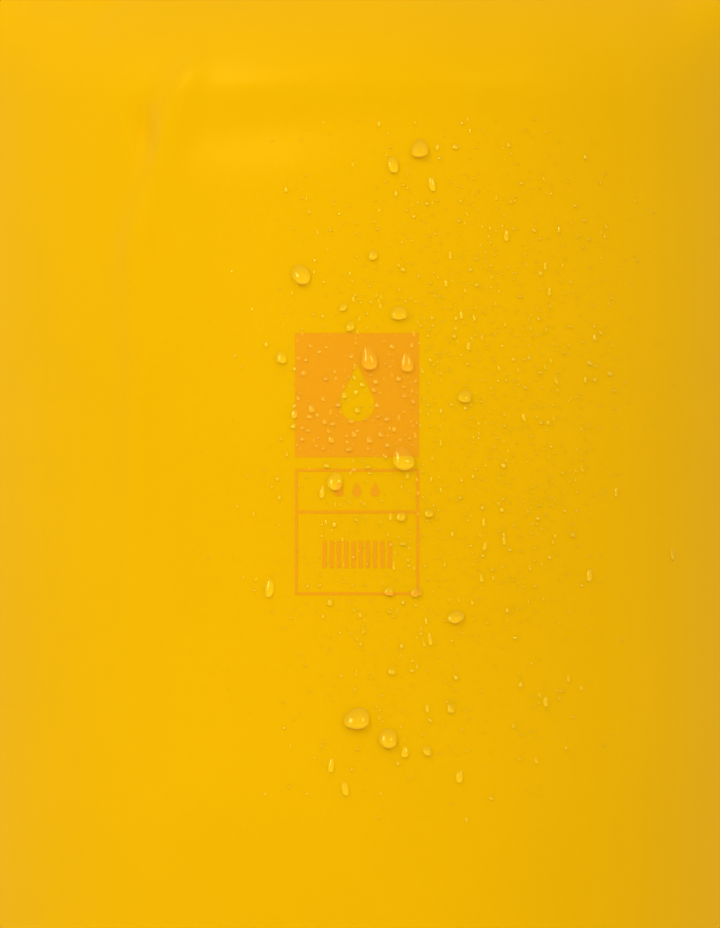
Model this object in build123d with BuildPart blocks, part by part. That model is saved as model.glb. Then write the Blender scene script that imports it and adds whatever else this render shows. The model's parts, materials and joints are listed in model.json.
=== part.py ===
from build123d import *
import math
import os

os.makedirs("parts", exist_ok=True)

# A ten-litre roll-top bag, stored rolled shut and clipped. Millimetres, +Z up,
# origin at the centre of the base. The print faces -Y, the welded seam faces +Y.

# Fabric body
BODY_RADIUS = 100.0
WALL = 1.0  # coated fabric, as one closed shell
BASE_THICKNESS = 1.2
SHOULDER_Z = 275.0  # the tube ends and the shoulder starts
NECK_Z = 345.0  # the shoulder meets the roll
NECK_HALF_WIDTH = 100.0
NECK_HALF_DEPTH = 8.0
SHOULDER_MIDDLE_Z = 308.0  # the shoulder bulges here
SHOULDER_MIDDLE_DEPTH = 70.0
LAYER_GAP = 0.05  # between one welded layer and the next
WELD_THICKNESS = 1.0
BAND_BOTTOM = 2.0
BAND_TOP = 30.0
SEAM_WIDTH = 18.0
SEAM_GAP = 2.0  # left free above the base band and below the shoulder

# Rolled mouth: a middle and two ends that fold up at a knuckle
ROLL_HEIGHT = 24.0
ROLL_DEPTH = 36.0
ROLL_CORNER = 9.0
ROLL_GAP = 1.0  # roll above the neck
ROLL_Z = NECK_Z + ROLL_GAP + ROLL_HEIGHT / 2
FOLD_X = 85.0  # knuckle axis, each side
FOLD_CLEARANCE = 0.5
END_TOP_Z = 428.0
END_TIP_HALF = 8.5  # half the thickness at the tip of a folded end
END_GAP = 1.2  # folded end above the top of the roll
TIP_CHAMFER = 4.0

# Stiffener strip inside the roll
STRIP_WIDTH = 22.0
STRIP_THICKNESS = 1.6
POCKET_GAP = 0.2
POCKET_END = 1.0  # free length at each end of a strip
STRIP_FOLD_GAP = 7.0  # middle strip to the knuckle
STRIP_END_RISE = 4.0  # end strip above the top of the roll
STRIP_TAB_GAP = 2.0  # end strip below its webbing tab

# Webbing and side-release buckle
WEBBING = 25.0
TAB_THICKNESS = 2.4
TAB_BOTTOM_Z = 417.0
TAB_CORNER_Z = 451.0
TAB_BEND = 14.0
LOOP_Z = 455.0  # the buckle's mid-plane
BAR_X = 31.0
BAR_RADIUS = 1.8
EYE_RADIUS = 4.4
RUNNING_CLEARANCE = 0.1
BUCKLE_WIDTH = 35.0
BUCKLE_THICKNESS = 10.0
BUCKLE_EDGE = 1.2
SOCKET_CORNER = 4.0
PLUG_CORNER = 2.5
RAIL_INNER = 14.0
RAIL_OVERHANG = 3.0  # rail past the bar's axis
RAIL_THICKNESS = 6.0
OVERLAP = 1.0  # how far joined features run into each other
SOCKET_BACK = -24.0
SOCKET_FRONT = 10.2
CAVITY_HALF_WIDTH = 13.5
CAVITY_HALF_HEIGHT = 3.0
CAVITY_BACK = -18.0
WINDOW_BACK = -15.0
WINDOW_FRONT = -2.0
WINDOW_STEP = 0.2  # side window beyond the cavity, above and below
SCALLOP_RADIUS = 8.0  # finger scallop over each side window
SCALLOP_OFFSET = 5.5  # its centre outside the buckle's edge
PLUG_FACE = 10.6
PLUG_BACK = 18.0
PRONG_X = 13.0
PRONG_Y = 8.75
PRONG_ROOT = 1.75
PRONG_HALF_HEIGHT = 2.5
CATCH_PLAY = 0.6  # prong's catch behind the window's front edge
CATCH_HOLD = 1.7  # and past the side of the cavity
BARB_X = -8.0
BARB_INSET = 0.5  # barb inside the buckle's edge
TIP_X = -14.5
TIP_Y = 11.0
TIP_TAPER = 0.8  # inner side of the tip, off the line of the arm
ARM_INNER = 7.3
ARM_OUTER = 10.2
TONGUE_HALF_WIDTH = 2.4
TONGUE_TIP = -15.0
TONGUE_STEP = 0.3  # tongue thinner than the prongs, above and below
SLOT_MARGIN = 0.7  # plug slot wider than the prong root, each side

# Side lash strips, ring keepers and D-rings
PATCH_WIDTH = 62.0
PATCH_BOTTOM = 36.0
PATCH_TOP = 268.0
LASH_THICKNESS = 1.6
LASH_X = 102.1
LASH_BRIDGE_X = 107.8
LASH_BOTTOM = 42.0
LASH_TOP = 260.0
BRIDGE_STARTS = (100.0, 148.0)
BRIDGE_LENGTH = 40.0
BRIDGE_RAMP = 7.0
RING_X = 107.0
RING_LEVELS = {"lower": 70.0, "upper": 222.0}
RING_WIRE = 2.0
RING_HALF_WIDTH = 15.5
RING_SIDE = 6.0
RING_CORNER = 3.0
KEEPER_INNER = 103.0
KEEPER_THICKNESS = 1.6
KEEPER_EYE = 3.7
KEEPER_LENGTH = 24.0

# Front print: a square over a divided info box
FILM_THICKNESS = 0.12
FILM_GAP = 0.03
PRINT_WIDTH = 24.8
SQUARE_Z = 214.0
BOX_Z = 186.6
BOX_HEIGHT = 25.2
DIVIDER_Z = 190.6
OUTLINE = 0.5
GLYPH_RADIUS = 3.5
ICON_RADIUS = 0.9
ICON_SPACING = 3.6
ICON_Z = 194.6
SCALE_BARS = 10
SCALE_WIDTH = 13.8
SCALE_HEIGHT = 5.4
SCALE_BAR = 0.75
SCALE_Z = 182.1
DROP_TIP = 2.3  # height of a drop's tip above its centre, in radii

SIDES = {"left": -1, "right": 1}


def save(builder, name):
    """Label a finished piece and write its STEP file."""
    builder.part.label = name
    export_step(builder.part, f"parts/{name}.step")


def shell_sector(inner, thickness, x, y, width, depth):
    """The part of a circular shell's outline that lies in a rectangle at x, y."""
    Circle(inner + thickness)
    Circle(inner, mode=Mode.SUBTRACT)
    with Locations((x, y)):
        Rectangle(width, depth, mode=Mode.INTERSECT)


def drop_outline(radius, mode):
    """A plain water drop: a circle with a straight-sided tip above it."""
    tip = DROP_TIP * radius
    rise = radius / DROP_TIP
    reach = math.sqrt(radius**2 - rise**2)
    Circle(radius, mode=mode)
    Polygon((0, tip), (-reach, rise), (reach, rise), align=None, mode=mode)


# ---- Coated-fabric body ----

with BuildPart() as base_panel:
    with BuildSketch():
        Circle(BODY_RADIUS)
    extrude(amount=BASE_THICKNESS)
save(base_panel, "base_panel")

with BuildPart() as body_tube:
    with BuildSketch(Plane.XY.offset(BASE_THICKNESS)):
        Circle(BODY_RADIUS)
        Circle(BODY_RADIUS - WALL, mode=Mode.SUBTRACT)
    extrude(amount=SHOULDER_Z - BASE_THICKNESS)
save(body_tube, "body_tube")

with BuildPart() as shoulder:
    for inset, mode in ((0.0, Mode.ADD), (WALL, Mode.SUBTRACT)):
        with BuildSketch(Plane.XY.offset(SHOULDER_Z)) as lower_edge:
            Circle(BODY_RADIUS - inset)
        with BuildSketch(Plane.XY.offset(SHOULDER_MIDDLE_Z)) as bulge:
            Ellipse(BODY_RADIUS - inset, SHOULDER_MIDDLE_DEPTH - inset)
        with BuildSketch(Plane.XY.offset(NECK_Z)) as upper_edge:
            Ellipse(NECK_HALF_WIDTH - inset, NECK_HALF_DEPTH - inset)
        loft([lower_edge.sketch, bulge.sketch, upper_edge.sketch], mode=mode)
save(shoulder, "shoulder")

with BuildPart() as base_band:
    with BuildSketch(Plane.XY.offset(BAND_BOTTOM)):
        Circle(BODY_RADIUS + LAYER_GAP + WELD_THICKNESS)
        Circle(BODY_RADIUS + LAYER_GAP, mode=Mode.SUBTRACT)
    extrude(amount=BAND_TOP - BAND_BOTTOM)
save(base_band, "base_band")

with BuildPart() as back_seam:
    with BuildSketch(Plane.XY.offset(BAND_TOP + SEAM_GAP)):
        shell_sector(BODY_RADIUS + LAYER_GAP, WELD_THICKNESS, 0, BODY_RADIUS, SEAM_WIDTH, SEAM_WIDTH)
    extrude(amount=SHOULDER_Z - BAND_TOP - 2 * SEAM_GAP)
save(back_seam, "back_seam")


# ---- Rolled mouth ----

STRIP_HALF_LENGTH = FOLD_X - ROLL_HEIGHT / 2 - STRIP_FOLD_GAP

with BuildPart() as roll_middle:
    with BuildSketch(Plane.YZ):
        with Locations((0, ROLL_Z)):
            RectangleRounded(ROLL_DEPTH, ROLL_HEIGHT, ROLL_CORNER)
    extrude(amount=FOLD_X, both=True)
    with BuildSketch(Plane.XZ):
        with Locations((-FOLD_X, ROLL_Z), (FOLD_X, ROLL_Z)):
            Circle(ROLL_HEIGHT / 2 + FOLD_CLEARANCE)
    extrude(amount=ROLL_DEPTH, both=True, mode=Mode.SUBTRACT)
    with Locations((0, 0, ROLL_Z)):
        Box(
            2 * (STRIP_HALF_LENGTH + POCKET_END),
            STRIP_WIDTH + 2 * POCKET_GAP,
            STRIP_THICKNESS + 2 * POCKET_GAP,
            mode=Mode.SUBTRACT,
        )
save(roll_middle, "roll_middle")

with BuildPart() as strip_middle:
    with Locations((0, 0, ROLL_Z)):
        Box(2 * STRIP_HALF_LENGTH, STRIP_WIDTH, STRIP_THICKNESS)
save(strip_middle, "strip_middle")

STRIP_BOTTOM_Z = ROLL_Z + ROLL_HEIGHT / 2 + STRIP_END_RISE
STRIP_TOP_Z = TAB_BOTTOM_Z - STRIP_TAB_GAP

for side, sign in SIDES.items():
    fold = sign * FOLD_X

    with BuildPart() as roll_end:
        with BuildSketch(Plane.XZ):
            with Locations((fold, ROLL_Z)):
                Circle(ROLL_HEIGHT / 2)
            with BuildLine():
                Polyline(
                    (fold, ROLL_Z),
                    (fold + sign * ROLL_HEIGHT / 2, ROLL_Z),
                    (fold + sign * END_TIP_HALF, END_TOP_Z),
                    (fold - sign * END_TIP_HALF, END_TOP_Z),
                    (fold - sign * ROLL_HEIGHT / 2, ROLL_Z + ROLL_HEIGHT / 2 + END_GAP),
                    (fold, ROLL_Z + ROLL_HEIGHT / 2 + END_GAP),
                    close=True,
                )
            make_face()
        extrude(amount=ROLL_DEPTH / 2, both=True)
        with Locations((fold, 0, (STRIP_BOTTOM_Z + STRIP_TOP_Z) / 2)):
            Box(
                STRIP_THICKNESS + 2 * POCKET_GAP,
                STRIP_WIDTH + 2 * POCKET_GAP,
                STRIP_TOP_Z - STRIP_BOTTOM_Z + 2 * POCKET_END,
                mode=Mode.SUBTRACT,
            )
        with Locations((fold, 0, (TAB_BOTTOM_Z + END_TOP_Z) / 2)):
            Box(
                TAB_THICKNESS + 2 * POCKET_GAP,
                WEBBING + 2 * POCKET_GAP,
                END_TOP_Z - TAB_BOTTOM_Z,
                mode=Mode.SUBTRACT,
            )
        tip_edges = roll_end.edges().filter_by(Axis.X).group_by(Axis.Z)[-1].sort_by(Axis.Y)
        chamfer([tip_edges[0], tip_edges[-1]], length=TIP_CHAMFER)
    save(roll_end, f"roll_{side}_end")

    with BuildPart() as strip_end:
        with Locations((fold, 0, (STRIP_BOTTOM_Z + STRIP_TOP_Z) / 2)):
            Box(STRIP_THICKNESS, STRIP_WIDTH, STRIP_TOP_Z - STRIP_BOTTOM_Z)
    save(strip_end, f"strip_{side}")

    with BuildPart() as webbing_tab:
        with BuildSketch(Plane.XZ):
            with BuildLine() as tab_path:
                FilletPolyline(
                    (fold, TAB_BOTTOM_Z + POCKET_GAP),
                    (fold, TAB_CORNER_Z),
                    (sign * (BAR_X + EYE_RADIUS - TAB_THICKNESS / 2), LOOP_Z),
                    radius=TAB_BEND,
                )
            trace(tab_path.line, line_width=TAB_THICKNESS)
            with Locations((sign * BAR_X, LOOP_Z)):
                Circle(EYE_RADIUS)
                Circle(BAR_RADIUS + RUNNING_CLEARANCE, mode=Mode.SUBTRACT)
        extrude(amount=WEBBING / 2, both=True)
    save(webbing_tab, f"webbing_tab_{side}")


# ---- Side-release buckle ----

def webbing_frame(sign, housing_x):
    """The two rails and the round bar that a webbing loop turns on."""
    rail_length = BAR_X + RAIL_OVERHANG - abs(housing_x)
    rail_width = BUCKLE_WIDTH / 2 - RAIL_INNER
    rail_x = sign * (abs(housing_x) + rail_length / 2)
    rail_y = RAIL_INNER + rail_width / 2
    with Locations((rail_x, -rail_y, LOOP_Z), (rail_x, rail_y, LOOP_Z)):
        Box(rail_length + OVERLAP, rail_width, RAIL_THICKNESS)
    with Locations((sign * BAR_X, 0, LOOP_Z)):
        Cylinder(BAR_RADIUS, 2 * (RAIL_INNER + OVERLAP), rotation=(90, 0, 0))


with BuildPart() as buckle_socket:
    with BuildSketch(Plane.XY.offset(LOOP_Z)):
        with Locations(((SOCKET_BACK + SOCKET_FRONT) / 2, 0)):
            RectangleRounded(SOCKET_FRONT - SOCKET_BACK, BUCKLE_WIDTH, SOCKET_CORNER)
    extrude(amount=BUCKLE_THICKNESS / 2, both=True)
    fillet(buckle_socket.faces().filter_by(Axis.Z).edges(), radius=BUCKLE_EDGE)
    webbing_frame(-1, SOCKET_BACK)
    with Locations(((CAVITY_BACK + SOCKET_FRONT + OVERLAP) / 2, 0, LOOP_Z)):
        Box(
            SOCKET_FRONT + OVERLAP - CAVITY_BACK,
            2 * CAVITY_HALF_WIDTH,
            2 * CAVITY_HALF_HEIGHT,
            mode=Mode.SUBTRACT,
        )
    with Locations(((WINDOW_BACK + WINDOW_FRONT) / 2, 0, LOOP_Z)):
        Box(
            WINDOW_FRONT - WINDOW_BACK,
            BUCKLE_WIDTH + 2 * OVERLAP,
            2 * (CAVITY_HALF_HEIGHT + WINDOW_STEP),
            mode=Mode.SUBTRACT,
        )
    with BuildSketch(Plane.XY.offset(LOOP_Z)):
        for y in (-1, 1):
            with Locations(((WINDOW_BACK + WINDOW_FRONT) / 2, y * (BUCKLE_WIDTH / 2 + SCALLOP_OFFSET))):
                Circle(SCALLOP_RADIUS)
    extrude(amount=BUCKLE_THICKNESS, both=True, mode=Mode.SUBTRACT)
save(buckle_socket, "buckle_socket")

with BuildPart() as buckle_plug:
    with BuildSketch(Plane.XY.offset(LOOP_Z)):
        with Locations(((PLUG_FACE + PLUG_BACK) / 2, 0)):
            RectangleRounded(PLUG_BACK - PLUG_FACE, BUCKLE_WIDTH, PLUG_CORNER)
    extrude(amount=BUCKLE_THICKNESS / 2, both=True)
    fillet(buckle_plug.faces().filter_by(Axis.Z).edges(), radius=BUCKLE_EDGE)
    webbing_frame(1, PLUG_BACK)
    with Locations(((TONGUE_TIP + PLUG_FACE + OVERLAP) / 2, 0, LOOP_Z)):
        Box(
            PLUG_FACE + OVERLAP - TONGUE_TIP,
            2 * TONGUE_HALF_WIDTH,
            2 * (PRONG_HALF_HEIGHT - TONGUE_STEP),
        )
    for y in (-1, 1):
        with Locations((PRONG_X, y * PRONG_Y, LOOP_Z)):
            Cylinder(
                PRONG_ROOT + RUNNING_CLEARANCE,
                2 * (PRONG_HALF_HEIGHT + RUNNING_CLEARANCE),
                mode=Mode.SUBTRACT,
            )
        with Locations(((PLUG_FACE - OVERLAP + PRONG_X) / 2, y * PRONG_Y, LOOP_Z)):
            Box(
                PRONG_X - PLUG_FACE + OVERLAP,
                2 * (PRONG_ROOT + SLOT_MARGIN),
                2 * (PRONG_HALF_HEIGHT + RUNNING_CLEARANCE),
                mode=Mode.SUBTRACT,
            )
save(buckle_plug, "buckle_plug")

CATCH_X = WINDOW_FRONT - CATCH_PLAY
CATCH_Y = CAVITY_HALF_WIDTH + CATCH_HOLD
BARB_Y = BUCKLE_WIDTH / 2 - BARB_INSET

for name, y in (("prong_front", -1), ("prong_rear", 1)):
    with BuildPart() as prong:
        with BuildSketch(Plane.XY.offset(LOOP_Z)):
            with Locations((PRONG_X, y * PRONG_Y)):
                Circle(PRONG_ROOT)
            with BuildLine():
                Polyline(
                    (TIP_X, y * TIP_Y),
                    (TIP_X, y * (ARM_INNER + TIP_TAPER)),
                    (PRONG_X, y * ARM_INNER),
                    (PRONG_X, y * ARM_OUTER),
                    (CATCH_X, y * ARM_OUTER),
                    (CATCH_X, y * CATCH_Y),
                )
                ThreePointArc((CATCH_X, y * CATCH_Y), (BARB_X, y * BARB_Y), (TIP_X, y * TIP_Y))
            make_face()
        extrude(amount=PRONG_HALF_HEIGHT, both=True)
    save(prong, name)


# ---- Side lash strips and D-rings ----

for side, sign in SIDES.items():
    with BuildPart() as side_patch:
        with BuildSketch(Plane.XY.offset(PATCH_BOTTOM)):
            shell_sector(
                BODY_RADIUS + LAYER_GAP, WELD_THICKNESS, sign * BODY_RADIUS, 0, BODY_RADIUS, PATCH_WIDTH
            )
        extrude(amount=PATCH_TOP - PATCH_BOTTOM)
    save(side_patch, f"side_patch_{side}")

    bends = [(sign * LASH_X, LASH_BOTTOM)]
    for start in BRIDGE_STARTS:
        end = start + BRIDGE_LENGTH
        bends.append((sign * LASH_X, start))
        bends.append((sign * LASH_BRIDGE_X, start + BRIDGE_RAMP))
        bends.append((sign * LASH_BRIDGE_X, end - BRIDGE_RAMP))
        bends.append((sign * LASH_X, end))
    bends.append((sign * LASH_X, LASH_TOP))
    with BuildPart() as lash_strip:
        with BuildSketch(Plane.XZ):
            with BuildLine() as lash_path:
                Polyline(*bends)
            trace(lash_path.line, line_width=LASH_THICKNESS)
        extrude(amount=WEBBING / 2, both=True)
    save(lash_strip, f"lash_strip_{side}")

    for level, eye_z in RING_LEVELS.items():
        with BuildPart() as keeper:
            with BuildSketch(Plane.XZ):
                with Locations((sign * (KEEPER_INNER + KEEPER_THICKNESS / 2), eye_z + KEEPER_LENGTH / 2)):
                    Rectangle(KEEPER_THICKNESS, KEEPER_LENGTH)
                with Locations((sign * RING_X, eye_z)):
                    Circle(KEEPER_EYE)
                    Circle(RING_WIRE + RUNNING_CLEARANCE, mode=Mode.SUBTRACT)
            extrude(amount=WEBBING / 2, both=True)
        save(keeper, f"ring_keeper_{side}_{level}")

        with BuildPart() as d_ring:
            with BuildLine(Plane.YZ.offset(sign * RING_X)) as bar_and_sides:
                FilletPolyline(
                    (-RING_HALF_WIDTH, eye_z - RING_SIDE),
                    (-RING_HALF_WIDTH, eye_z),
                    (RING_HALF_WIDTH, eye_z),
                    (RING_HALF_WIDTH, eye_z - RING_SIDE),
                    radius=RING_CORNER,
                )
            with BuildSketch(Plane((sign * RING_X, -RING_HALF_WIDTH, eye_z - RING_SIDE))):
                Circle(RING_WIRE)
            sweep(path=bar_and_sides.line)
            with BuildLine(Plane.YZ.offset(sign * RING_X)) as bow:
                ThreePointArc(
                    (-RING_HALF_WIDTH, eye_z - RING_SIDE),
                    (0, eye_z - RING_SIDE - RING_HALF_WIDTH),
                    (RING_HALF_WIDTH, eye_z - RING_SIDE),
                )
            with BuildSketch(Plane((sign * RING_X, -RING_HALF_WIDTH, eye_z - RING_SIDE))):
                Circle(RING_WIRE)
            sweep(path=bow.line)
        save(d_ring, f"d_ring_{side}_{level}")


# ---- Front print ----
# Each mark is a thin film: the shell just off the tube, cut to the mark's outline from in front.

FILM_INNER = BODY_RADIUS + FILM_GAP
FILM_HEIGHT = 2 * (PRINT_WIDTH + BOX_HEIGHT)
FILM_REACH = BODY_RADIUS + PRINT_WIDTH  # cuts past the front of the shell


def film_shell():
    """The thin shell in which all the print lies."""
    with Locations((0, 0, (SQUARE_Z + BOX_Z) / 2)):
        Cylinder(FILM_INNER + FILM_THICKNESS, FILM_HEIGHT)
        Cylinder(FILM_INNER, FILM_HEIGHT, mode=Mode.SUBTRACT)


with BuildPart() as print_square:
    film_shell()
    with BuildSketch(Plane.XZ):
        with Locations((0, SQUARE_Z)):
            Rectangle(PRINT_WIDTH, PRINT_WIDTH)
        with Locations((0, SQUARE_Z - GLYPH_RADIUS / 2)):
            drop_outline(GLYPH_RADIUS, Mode.SUBTRACT)
    extrude(amount=FILM_REACH, mode=Mode.INTERSECT)
save(print_square, "print_square")

with BuildPart() as print_frame:
    film_shell()
    with BuildSketch(Plane.XZ):
        with Locations((0, BOX_Z)):
            Rectangle(PRINT_WIDTH, BOX_HEIGHT)
            Rectangle(PRINT_WIDTH - 2 * OUTLINE, BOX_HEIGHT - 2 * OUTLINE, mode=Mode.SUBTRACT)
        with Locations((0, DIVIDER_Z)):
            Rectangle(PRINT_WIDTH, OUTLINE)
    extrude(amount=FILM_REACH, mode=Mode.INTERSECT)
save(print_frame, "print_frame")

with BuildPart() as print_icons:
    film_shell()
    with BuildSketch(Plane.XZ):
        with Locations((-ICON_SPACING, ICON_Z), (0, ICON_Z), (ICON_SPACING, ICON_Z)):
            drop_outline(ICON_RADIUS, Mode.ADD)
    extrude(amount=FILM_REACH, mode=Mode.INTERSECT)
save(print_icons, "print_icons")

with BuildPart() as print_scale:
    film_shell()
    with BuildSketch(Plane.XZ):
        with Locations((0, SCALE_Z)):
            with GridLocations((SCALE_WIDTH - SCALE_BAR) / (SCALE_BARS - 1), 0, SCALE_BARS, 1):
                Rectangle(SCALE_BAR, SCALE_HEIGHT)
    extrude(amount=FILM_REACH, mode=Mode.INTERSECT)
save(print_scale, "print_scale")
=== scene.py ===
import json
import random
from math import acos, asin, ceil, copysign, cos, exp, hypot, pi, radians, sin, sqrt

import bmesh
import bpy
import numpy as np
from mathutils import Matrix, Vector
from mathutils.bvhtree import BVHTree
from mathutils.geometry import delaunay_2d_cdt
from mathutils.noise import noise as smooth_noise


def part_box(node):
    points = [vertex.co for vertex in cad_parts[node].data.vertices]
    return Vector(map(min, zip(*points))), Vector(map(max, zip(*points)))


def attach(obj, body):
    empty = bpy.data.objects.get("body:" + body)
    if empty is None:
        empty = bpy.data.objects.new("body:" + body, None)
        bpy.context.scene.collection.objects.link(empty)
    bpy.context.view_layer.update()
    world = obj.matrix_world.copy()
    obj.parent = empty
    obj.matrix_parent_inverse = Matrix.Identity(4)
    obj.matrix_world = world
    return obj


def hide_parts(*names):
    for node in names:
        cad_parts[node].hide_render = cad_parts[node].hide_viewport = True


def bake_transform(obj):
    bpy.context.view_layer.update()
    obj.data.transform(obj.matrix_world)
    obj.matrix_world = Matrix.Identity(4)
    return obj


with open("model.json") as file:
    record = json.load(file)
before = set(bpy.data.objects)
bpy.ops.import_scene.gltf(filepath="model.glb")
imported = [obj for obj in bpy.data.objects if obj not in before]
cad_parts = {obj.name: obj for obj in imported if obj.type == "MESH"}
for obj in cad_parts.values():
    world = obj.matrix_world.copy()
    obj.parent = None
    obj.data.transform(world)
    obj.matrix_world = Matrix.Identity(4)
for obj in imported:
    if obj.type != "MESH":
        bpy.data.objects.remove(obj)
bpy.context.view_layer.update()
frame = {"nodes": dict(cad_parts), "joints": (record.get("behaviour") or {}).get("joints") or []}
MM = 0.001
SIDES = {"left": -1, "right": 1}

# Places and sizes, all read from the frame
TUBE_LOW, TUBE_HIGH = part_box("body_tube")
RADIUS = TUBE_HIGH.x
CIRCUMFERENCE = 2 * pi * RADIUS
SHOULDER_Z = TUBE_HIGH.z
ROLL_LOW, ROLL_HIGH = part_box("roll_middle")
ROLL_Z = (ROLL_LOW.z + ROLL_HIGH.z) / 2
ROLL_HALF_HEIGHT = (ROLL_HIGH.z - ROLL_LOW.z) / 2
ROLL_HALF_DEPTH = (ROLL_HIGH.y - ROLL_LOW.y) / 2
END_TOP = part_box("roll_right_end")[1].z
FOLD_X = [j for j in frame["joints"] if j["name"] == "right_end_open"][0]["pos_m"][0]
SQUARE_LOW, SQUARE_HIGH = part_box("print_square")
BOX_LOW, BOX_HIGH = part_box("print_frame")
PRINT_WIDTH = SQUARE_HIGH.x - SQUARE_LOW.x
VIEW_Z = (SQUARE_HIGH.z + BOX_LOW.z) / 2  # the print's middle
VIEW_MIDDLE = Vector((0, 0, VIEW_Z))

# Colours, linear
YELLOW = (0.91, 0.485, 0.0004)
ORANGE = (0.90, 0.355, 0.006)
BLACK_WEBBING = (0.028, 0.028, 0.031)
BLACK_THREAD = (0.045, 0.045, 0.048)
BLACK_PLASTIC = (0.020, 0.020, 0.022)


# ---- Node materials ----

class Paint:
    """A small helper that builds one node material; values are the main shader's inputs."""

    def __init__(self, name, **values):
        self.material = bpy.data.materials.new(name)
        self.material.use_nodes = True
        self.tree = self.material.node_tree
        self.shader = self.tree.nodes["Principled BSDF"]
        for key, value in values.items():
            self.shader.inputs[key.replace("_", " ")].default_value = value

    def node(self, kind, **values):
        made = self.tree.nodes.new("ShaderNode" + kind)
        for key, value in values.items():
            if key in made.inputs:
                made.inputs[key].default_value = value
            else:
                setattr(made, key, value)
        return made

    def link(self, source, target):
        self.tree.links.new(source, target)

    def math(self, operation, first, second=None):
        made = self.node("Math", operation=operation)
        for slot, value in zip(made.inputs, (first, second)):
            if isinstance(value, (int, float)):
                slot.default_value = value
            elif value is not None:
                self.link(value, slot)
        return made.outputs[0]

    def wave(self, distance, pitch, kind="SINE"):
        """One wave to each pitch along distance."""
        return self.math(kind, self.math("MULTIPLY", distance, 2 * pi / pitch))

    def noise(self, scale, detail=3.0, roughness=0.5):
        """Noise in the object's own coordinates, with scale waves a metre."""
        made = self.node("TexNoise", Scale=scale, Detail=detail, Roughness=roughness)
        self.link(self.node("TexCoord").outputs["Object"], made.inputs["Vector"])
        return made.outputs["Fac"]

    def ramp(self, value, low, high, start=0.0, end=1.0):
        """value from start to end becomes low to high, as a number."""
        limits = {"From Min": start, "From Max": end, "To Min": low, "To Max": high}
        made = self.node("MapRange", **limits)
        self.link(value, made.inputs["Value"])
        return made.outputs["Result"]

    def mix(self, factor, first, second):
        """Colour first where factor is 0, second where it is 1."""
        made = self.node("Mix", data_type="RGBA", clamp_result=False)
        self.link(factor, made.inputs["Factor"])
        for slot, value in ((made.inputs[6], first), (made.inputs[7], second)):
            if isinstance(value, tuple):
                slot.default_value = (*value, 1)
            else:
                self.link(value, slot)
        return made.outputs[2]

    def colour(self, factor, first, second):
        self.link(self.mix(factor, first, second), self.shader.inputs["Base Color"])

    def roughness(self, factor, low, high):
        self.link(self.ramp(factor, low, high), self.shader.inputs["Roughness"])

    def bump(self, height, strength, distance):
        """A bump on top of those made before it."""
        made = self.node("Bump", Strength=strength, Distance=distance)
        self.link(height, made.inputs["Height"])
        previous = self.shader.inputs["Normal"].links
        if previous:
            self.link(previous[0].from_socket, made.inputs["Normal"])
        self.link(made.outputs["Normal"], self.shader.inputs["Normal"])

    def cloth_place(self):
        """(along, across) on the cloth, in metres."""
        made = self.node("SeparateXYZ")
        self.link(self.node("UVMap").outputs["UV"], made.inputs["Vector"])
        return made.outputs["X"], made.outputs["Y"]


def tinted(colour, share):
    return tuple(c * share for c in colour)


def coated_fabric(name, share=1.0, roughness=0.36, emboss=0.10):
    """Satin polyester tarpaulin: a smooth coat over a fine weave, faintly uneven in tone."""
    paint = Paint(name, Specular_IOR_Level=0.20, Specular_Tint=(1.0, 0.75, 0.05, 1))
    colour = tinted(YELLOW, share)
    paint.colour(paint.noise(14.0, 4.0), tinted(colour, 0.93), tinted(colour, 1.035))
    paint.roughness(paint.noise(60.0, 5.0), roughness - 0.05, roughness + 0.07)
    along, across = paint.cloth_place()
    thread = 0.62 * MM
    weave = paint.math("MULTIPLY", paint.wave(along, thread), paint.wave(across, thread))
    paint.bump(weave, emboss, 0.02 * MM)
    paint.bump(paint.noise(1900.0), 0.16, 0.05 * MM)
    paint.bump(paint.noise(230.0, 4.0), 0.10, 0.25 * MM)
    return paint.material


def webbing_fabric(name, colour):
    """Flat polyester webbing: ribs across it, crossed by fine warp threads."""
    paint = Paint(name, Roughness=0.82, Specular_IOR_Level=0.25, Sheen_Weight=0.35, Sheen_Roughness=0.4)
    along, across = paint.cloth_place()
    rib, warp = 1.5 * MM, 1.05 * MM
    shift = paint.math("MULTIPLY", paint.wave(across, warp), 1.3)
    ribs = paint.math("SINE", paint.math("ADD", paint.math("MULTIPLY", along, 2 * pi / rib), shift))
    threads = paint.wave(across, warp, "COSINE")
    weave = paint.math("ADD", paint.math("MULTIPLY", ribs, 0.6), paint.math("MULTIPLY", threads, 0.4))
    fibre = paint.noise(2600.0, 4.0)
    # darker where the weave lies low: painted shade between the threads, with random tone from the fibre
    # noise
    tone = paint.math("MULTIPLY", paint.ramp(weave, 0.35, 0.75), paint.ramp(fibre, 0.7, 1.3))
    paint.colour(tone, tinted(colour, 0.35), tinted(colour, 1.5))
    paint.bump(weave, 0.75, 0.22 * MM)
    paint.bump(fibre, 0.35, 0.08 * MM)
    return paint.material


def thread_fibre(name, colour):
    paint = Paint(name, Roughness=0.6, Sheen_Weight=0.3)
    fibre = paint.noise(3200.0, 2.0)
    paint.colour(fibre, tinted(colour, 0.7), tinted(colour, 1.2))
    paint.bump(fibre, 0.3, 0.05 * MM)
    return paint.material


def moulded_plastic(name, colour):
    """Acetal with a fine spark-eroded texture and faint wear on its edges."""
    paint = Paint(name)
    grain = paint.noise(2400.0, 4.0)
    wear = paint.math("GREATER_THAN", paint.node("NewGeometry").outputs["Pointiness"], 0.56)
    worn = paint.math("MULTIPLY", wear, paint.ramp(paint.noise(300.0), 0.0, 0.7))
    base = paint.mix(grain, tinted(colour, 0.8), tinted(colour, 1.25))
    paint.colour(worn, base, tinted(colour, 2.6))
    paint.roughness(paint.noise(90.0, 4.0), 0.34, 0.52)
    paint.bump(grain, 0.22, 0.05 * MM)
    return paint.material


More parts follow.
